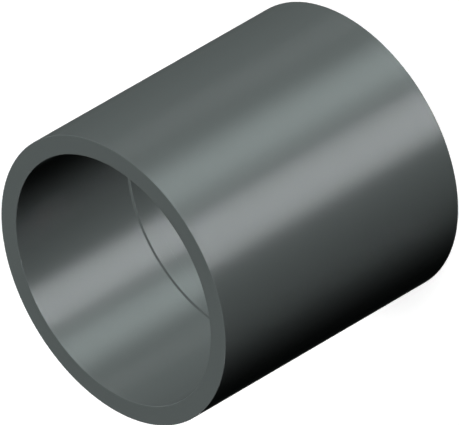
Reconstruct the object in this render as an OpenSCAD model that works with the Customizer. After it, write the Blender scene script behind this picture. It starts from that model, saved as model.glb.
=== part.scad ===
// Straight coupling for two lengths of PVC pressure pipe, joined with solvent cement.
// It is one moulding: two plain sockets back to back, with a low rib between them that
// each pipe end stops against. The whole form is one wall section turned about Z, and
// the coupling stands on the end face of its lower socket.

/* [Pipe] */
// Outside diameter of the pipe that both sockets take
pipe_d = 90; // [50:1:160]
// Clearance across the diameter between the pipe and the socket wall
pipe_clearance = 0.2; // [0.1:0.05:0.6]

/* [Sockets] */
// Depth of each socket, from its mouth to the pipe stop
socket_depth = 51; // [30:1:90]
// Thickness of the wall round the sockets
wall_t = 6.9; // [4:0.1:12]

/* [Pipe stop] */
// Width of the stop rib along the axis
stop_w = 6; // [3:0.5:15]
// Height of the stop rib above the socket wall
stop_h = 1.2; // [1:0.1:3]

/* [Edges] */
// Radius of the round on the outer edge of each end face
rim_r = 0.2; // [0.1:0.1:1.5]
// Radius of the round on the mouth of each socket
mouth_r = 0.2; // [0.1:0.1:1.5]
// Radius of the round on both edges of the stop rib
stop_edge_r = 0.1; // [0.1:0.05:0.4]
// Radius of the fillet where the stop rib rises from the socket wall
stop_root_r = 0.1; // [0.1:0.05:0.4]

/* [Hidden] */

$fn = 180;
pvc_grey = [0.31, 0.34, 0.34];

socket_r = (pipe_d + pipe_clearance) / 2;
outer_r = socket_r + wall_t;
stop_bore_r = socket_r - stop_h;
body_l = 2 * socket_depth + stop_w;
// The rib's own section starts inside the wall, at mid thickness, so that the two are one solid
rib_start_r = socket_r + wall_t / 2;

// What a round of radius r leaves over of a square corner. The corner is at the origin,
// and its sides run along +X and +Y.
module corner_sliver(r) {
    difference() {
        square(r);
        translate([r, r]) circle(r);
    }
}

// The children as they are, and once more mirrored about the coupling's mid height
module both_ends() {
    children();
    translate([0, body_l]) mirror([0, 1]) children();
}

// Wall of the two sockets, with its outer rims and its mouths rounded
module socket_wall() {
    difference() {
        translate([socket_r, 0]) square([wall_t, body_l]);
        both_ends() {
            translate([socket_r, 0]) corner_sliver(mouth_r);
            translate([outer_r, 0]) mirror([1, 0]) corner_sliver(rim_r);
        }
    }
}

// Rib that the pipes stop against, with rounded edges and a fillet at each root
module stop_rib() {
    difference() {
        translate([stop_bore_r, socket_depth]) square([rib_start_r - stop_bore_r, stop_w]);
        both_ends() translate([stop_bore_r, socket_depth]) corner_sliver(stop_edge_r);
    }
    both_ends() translate([socket_r, socket_depth]) rotate(180) corner_sliver(stop_root_r);
}

// Section of the wall on one side of the axis: the radius runs along X and the height along Y
module wall_section() {
    socket_wall();
    stop_rib();
}

module coupling() {
    color(pvc_grey) rotate_extrude() wall_section();
}

coupling();
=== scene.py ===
"""A dark green-grey PVC pipe coupling standing on one end, seen from above along a slant.

Lengths are in metres. The coupling stands at the origin with its bore along +Z.
"""

import math

import bpy
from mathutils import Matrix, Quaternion, Vector


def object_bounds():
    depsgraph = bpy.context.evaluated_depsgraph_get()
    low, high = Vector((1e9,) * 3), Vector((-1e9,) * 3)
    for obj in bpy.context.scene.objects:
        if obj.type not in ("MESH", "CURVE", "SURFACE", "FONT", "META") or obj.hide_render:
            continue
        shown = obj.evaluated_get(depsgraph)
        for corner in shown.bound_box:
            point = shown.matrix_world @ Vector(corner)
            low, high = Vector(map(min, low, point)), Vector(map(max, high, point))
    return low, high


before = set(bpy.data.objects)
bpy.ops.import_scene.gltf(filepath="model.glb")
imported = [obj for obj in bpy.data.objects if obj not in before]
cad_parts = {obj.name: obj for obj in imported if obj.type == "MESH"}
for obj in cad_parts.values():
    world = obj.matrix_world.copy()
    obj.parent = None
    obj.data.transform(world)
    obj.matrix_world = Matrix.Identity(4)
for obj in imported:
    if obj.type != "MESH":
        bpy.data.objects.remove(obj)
cad_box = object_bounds()

# The photographed view: how far the camera stands above the horizon, and how much its
# picture turns, so that the bore's axis rises to the right and the open end is at the left
CAMERA_ELEVATION_DEG = 35.26
PICTURE_TURN_DEG = 120
# What the picture's long side spans where the coupling stands, and how far right of the
# picture's middle and below it the coupling's own middle lies
PICTURE_SPAN = 0.15046
RIGHT_OF_MIDDLE = 0.00009
BELOW_MIDDLE = 0.00017
SENSOR_WIDTH_MM = 36
LENS_MM = 1500
# What is nearer to the camera than this isn't drawn
NEAREST_SEEN = 0.1

# Rigid PVC, with how far its tone and its roughness stray, and the height of its grain
PVC_COLOUR = (0.1035, 0.119, 0.1172)
PVC_IOR = 1.53
TONE_DRIFT = 0.035
LEAST_ROUGHNESS = 0.245
MOST_ROUGHNESS = 0.27
GRAIN_HEIGHT = 0.0000015
# The specular level at which the IOR alone sets the gloss, and where the gloss starts to fade
# and is gone, from 0 on a wall that faces the eye to 1 on a wall seen along its surface
WHOLE_GLOSS = 0.5
GLOSS_FADES = 0.3
GLOSS_GONE = 0.78

# Tall lamps that only the gloss shows stand this far off and shine a little cool. The one
# for the lower bright band of the photographed view is the least green, and the one for the
# upper band the most.
STRIP_DISTANCE = 2.0
STRIP_COLOUR = (0.93, 1.0, 1.01)
LOWER_BAND_COLOUR = (0.97, 1.0, 1.035)
UPPER_BAND_COLOUR = (0.88, 1.0, 1.0)
# A strip's width runs from 0 to 1, so half of it is its middle and how far that is from a side
HALF_WIDTH = 0.5
# A ray that leaves what the camera sees has a depth of 1, and one that goes on has 2
LOOKED_AT_DEPTH = 1.5

# The floor's colour, and how much it glows to the camera, so that it is just white where no
# shadow lies
FLOOR_COLOUR = 0.8
FLOOR_GLOW = 0.41
# The floor lies a paper's thickness under the end face, so that the two don't coincide
FLOOR_DROP = 0.0001
FLOOR_SIZE = 12.0


def object_centre():
    low, high = cad_box
    return (low + high) / 2


def side_direction(turn, elevation=0):
    """Direction from the coupling outwards. The turn is round the bore's axis from the
    camera's side, clockwise from above, and the elevation above the horizon, in degrees."""
    turn = math.radians(turn)
    elevation = math.radians(elevation)
    flat = math.cos(elevation)
    return Vector((-math.sin(turn) * flat, -math.cos(turn) * flat, math.sin(elevation)))


def make_camera():
    data = bpy.data.cameras.new("camera")
    data.sensor_width = SENSOR_WIDTH_MM
    data.lens = LENS_MM
    camera = bpy.data.objects.new("camera", data)
    bpy.context.scene.collection.objects.link(camera)
    bpy.context.scene.camera = camera
    distance = PICTURE_SPAN * LENS_MM / SENSOR_WIDTH_MM
    outwards = side_direction(0, CAMERA_ELEVATION_DEG)
    upright = (-outwards).to_track_quat("-Z", "Y")
    turned = upright @ Quaternion((0, 0, 1), -math.radians(PICTURE_TURN_DEG))
    camera.rotation_mode = "QUATERNION"
    camera.rotation_quaternion = turned
    aside = turned @ Vector((-RIGHT_OF_MIDDLE, BELOW_MIDDLE, 0))
    camera.location = object_centre() + outwards * distance + aside
    data.clip_start = NEAREST_SEEN
    data.clip_end = 2 * distance


def calculate(tree, operation, value, other=None):
    """One step of arithmetic on a socket's value. Where it takes a second value, that is a
    number or another socket. Returns the result."""
    node = tree.nodes.new("ShaderNodeMath")
    node.operation = operation
    tree.links.new(value, node.inputs[0])
    if isinstance(other, bpy.types.NodeSocket):
        tree.links.new(other, node.inputs[1])
    elif other is not None:
        node.inputs[1].default_value = other
    return node.outputs["Value"]


def map_value(tree, value, start, end, interpolation="LINEAR", reach=(0, 1)):
    """The value's reach laid over start to end. Returns the result."""
    node = tree.nodes.new("ShaderNodeMapRange")
    node.interpolation_type = interpolation
    node.inputs["From Min"].default_value = reach[0]
    node.inputs["From Max"].default_value = reach[1]
    node.inputs["To Min"].default_value = start
    node.inputs["To Max"].default_value = end
    tree.links.new(value, node.inputs["Value"])
    return node.outputs["Result"]


def looked_at(tree):
    """1 for what the camera sees, and 0 for light that would go on from there, so that the
    two sides of the bore don't light or mirror each other."""
    path = tree.nodes.new("ShaderNodeLightPath")
    return calculate(tree, "LESS_THAN", path.outputs["Ray Depth"], LOOKED_AT_DEPTH)


def soft_sides(tree, core):
    """1 in a strip's core, which is a share of its width, and fading to 0 at its sides."""
    place = tree.nodes.new("ShaderNodeNewGeometry").outputs["Parametric"]
    across = tree.nodes.new("ShaderNodeSeparateXYZ")
    tree.links.new(place, across.inputs["Vector"])
    off_middle = calculate(tree, "SUBTRACT", across.outputs["X"], HALF_WIDTH)
    distance = calculate(tree, "ABSOLUTE", off_middle)
    return map_value(tree, distance, 0, 1, "SMOOTHSTEP", (HALF_WIDTH, HALF_WIDTH * core))


def add_light(name, data, direction):
    """Links a lamp that shines along the direction and isn't seen itself."""
    light = bpy.data.objects.new(name, data)
    bpy.context.scene.collection.objects.link(light)
    light.visible_camera = False
    light.rotation_mode = "QUATERNION"
    light.rotation_quaternion = direction.to_track_quat("-Z", "Y")
    return light


def distant_light(name, turn, elevation, level, spread, shadow=False):
    """A distant soft lamp that lights the coupling's colour and leaves its gloss alone. At a
    level of 1, a surface that faces it shows its own colour. The angles are in degrees."""
    data = bpy.data.lights.new(name, "SUN")
    data.energy = level * math.pi
    data.angle = math.radians(spread)
    data.use_shadow = shadow
    data.use_nodes = True
    tree = data.node_tree
    tree.links.new(looked_at(tree), tree.nodes["Emission"].inputs["Strength"])
    light = add_light(name, data, -side_direction(turn, elevation))
    light.visible_glossy = False


def strip_light(name, turn, half_width, core, level, low=-60, high=-24, colour=STRIP_COLOUR):
    """A tall lamp with soft sides that only the gloss shows. It fills the elevations from low
    to high, and half_width is the angle from its middle to its side, all in degrees."""
    outwards = side_direction(turn)
    foot = STRIP_DISTANCE * math.tan(math.radians(low))
    head = STRIP_DISTANCE * math.tan(math.radians(high))
    data = bpy.data.lights.new(name, "AREA")
    data.shape = "RECTANGLE"
    data.size = 2 * STRIP_DISTANCE * math.tan(math.radians(half_width))
    data.size_y = head - foot
    data.energy = level * math.pi * data.size * data.size_y
    data.color = colour
    data.use_shadow = False
    data.cycles.use_multiple_importance_sampling = False
    data.use_nodes = True
    tree = data.node_tree
    strength = calculate(tree, "MULTIPLY", soft_sides(tree, core), looked_at(tree))
    tree.links.new(strength, tree.nodes["Emission"].inputs["Strength"])
    light = add_light(name, data, -outwards)
    light.visible_diffuse = False
    light.location = object_centre() + outwards * STRIP_DISTANCE + Vector((0, 0, (foot + head) / 2))


def make_lights():
    """Distant lamps for the colour, strips for the bands of gloss in the photographed view,
    and low strips for the gloss that a lower eye sees. Most of those stand where they show on
    the side that is nearly black in the photographed view."""
    distant_light("key", turn=-33, elevation=20, level=1.085, spread=26)
    distant_light("overhead", turn=-15, elevation=83, level=0.4, spread=12, shadow=True)
    distant_light("side", turn=-115, elevation=10, level=0.12, spread=20)
    distant_light("back", turn=171, elevation=5, level=1.0, spread=10)
    distant_light("underside", turn=0, elevation=-90, level=0.7, spread=5)
    strip_light("strip_near", turn=9.2, half_width=22.5, core=0.5, level=5.0, colour=LOWER_BAND_COLOUR)
    strip_light("strip_side", turn=-36, half_width=28, core=0.0, level=3.45, colour=UPPER_BAND_COLOUR)
    strip_light("strip_left", turn=-84, half_width=15, core=0.3, level=0.42)
    strip_light("strip_right", turn=81, half_width=21, core=0.3, level=0.16)
    for turn, level in ((15, 1.3), (52, 2.8), (90, 2.8), (128, 2.2), (225, 1.3)):
        strip_light(f"strip_low_{turn}", turn, half_width=28, core=0.2, level=level, low=-19, high=6)


def add_noise(tree, place, scale, detail, stretch=(1, 1, 1)):
    """A noise over the solid, with its scale in waves to the metre. Returns its value."""
    mapping = tree.nodes.new("ShaderNodeMapping")
    mapping.inputs["Scale"].default_value = stretch
    noise = tree.nodes.new("ShaderNodeTexNoise")
    noise.inputs["Scale"].default_value = scale
    noise.inputs["Detail"].default_value = detail
    tree.links.new(place, mapping.inputs["Vector"])
    tree.links.new(mapping.outputs["Vector"], noise.inputs["Vector"])
    return noise.outputs["Fac"]


def moulded_pvc():
    """Dark PVC with the satin skin of a moulding. Its tone drifts a little along the way that
    the melt flowed, its gloss is a little uneven, and a fine grain lies over it. The gloss
    fades where the wall is seen along its surface, because the real one has no bright rims."""
    material = bpy.data.materials.new("moulded_pvc")
    material.use_nodes = True
    tree = material.node_tree
    nodes, links = tree.nodes, tree.links
    shader = nodes["Principled BSDF"]
    shader.inputs["IOR"].default_value = PVC_IOR
    place = nodes.new("ShaderNodeTexCoord").outputs["Object"]

    tone = nodes.new("ShaderNodeMix")
    tone.data_type = "RGBA"
    tone.inputs["A"].default_value = (*[c * (1 - TONE_DRIFT) for c in PVC_COLOUR], 1)
    tone.inputs["B"].default_value = (*[c * (1 + TONE_DRIFT) for c in PVC_COLOUR], 1)
    flow = add_noise(tree, place, scale=22, detail=4, stretch=(1, 1, 0.35))
    links.new(flow, tone.inputs["Factor"])
    links.new(tone.outputs["Result"], shader.inputs["Base Color"])

    skin = add_noise(tree, place, scale=70, detail=3)
    roughness = map_value(tree, skin, LEAST_ROUGHNESS, MOST_ROUGHNESS)
    links.new(roughness, shader.inputs["Roughness"])

    facing = nodes.new("ShaderNodeLayerWeight").outputs["Facing"]
    gloss = map_value(tree, facing, WHOLE_GLOSS, 0, "SMOOTHSTEP", (GLOSS_FADES, GLOSS_GONE))
    links.new(gloss, shader.inputs["Specular IOR Level"])

    bump = nodes.new("ShaderNodeBump")
    bump.inputs["Strength"].default_value = 1
    bump.inputs["Distance"].default_value = GRAIN_HEIGHT
    grain = add_noise(tree, place, scale=1500, detail=3)
    links.new(grain, bump.inputs["Height"])
    links.new(bump.outputs["Normal"], shader.inputs["Normal"])
    return material


def white_floor():
    """White to the camera but for the shadow on it, and clear from below, so that it doesn't
    hide the coupling's foot."""
    material = bpy.data.materials.new("white_floor")
    material.use_nodes = True
    nodes, links = material.node_tree.nodes, material.node_tree.links
    nodes.clear()
    lit = nodes.new("ShaderNodeBsdfDiffuse")
    lit.inputs["Color"].default_value = (FLOOR_COLOUR, FLOOR_COLOUR, FLOOR_COLOUR, 1)
    glow = nodes.new("ShaderNodeEmission")
    glow.inputs["Strength"].default_value = FLOOR_GLOW
    path = nodes.new("ShaderNodeLightPath")
    links.new(path.outputs["Is Camera Ray"], glow.inputs["Color"])
    white = nodes.new("ShaderNodeAddShader")
    links.new(lit.outputs["BSDF"], white.inputs[0])
    links.new(glow.outputs["Emission"], white.inputs[1])
    clear = nodes.new("ShaderNodeBsdfTransparent")
    side = nodes.new("ShaderNodeNewGeometry")
    whole = nodes.new("ShaderNodeMixShader")
    links.new(side.outputs["Backfacing"], whole.inputs[0])
    links.new(white.outputs["Shader"], whole.inputs[1])
    links.new(clear.outputs["BSDF"], whole.inputs[2])
    out = nodes.new("ShaderNodeOutputMaterial")
    links.new(whole.outputs["Shader"], out.inputs["Surface"])
    return material


def make_floor():
    bpy.ops.mesh.primitive_plane_add(size=FLOOR_SIZE, location=(0, 0, -FLOOR_DROP))
    floor = bpy.context.object
    floor.name = "floor"
    floor.data.materials.append(white_floor())


def make_room():
    """White to the camera and dark to everything else. The coupling is neither metal nor glass,
    and its shaded side would turn grey if its gloss mirrored a white room."""
    world = bpy.data.worlds.new("studio")
    bpy.context.scene.world = world
    world.use_nodes = True
    nodes, links = world.node_tree.nodes, world.node_tree.links
    background = nodes["Background"]
    background.inputs["Color"].default_value = (1, 1, 1, 1)
    path = nodes.new("ShaderNodeLightPath")
    links.new(path.outputs["Is Camera Ray"], background.inputs["Strength"])


make_camera()
make_room()
make_floor()
make_lights()

finish = moulded_pvc()
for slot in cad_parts["coupling"].material_slots:
    slot.material = finish

bpy.context.scene.view_settings.view_transform = "Standard"
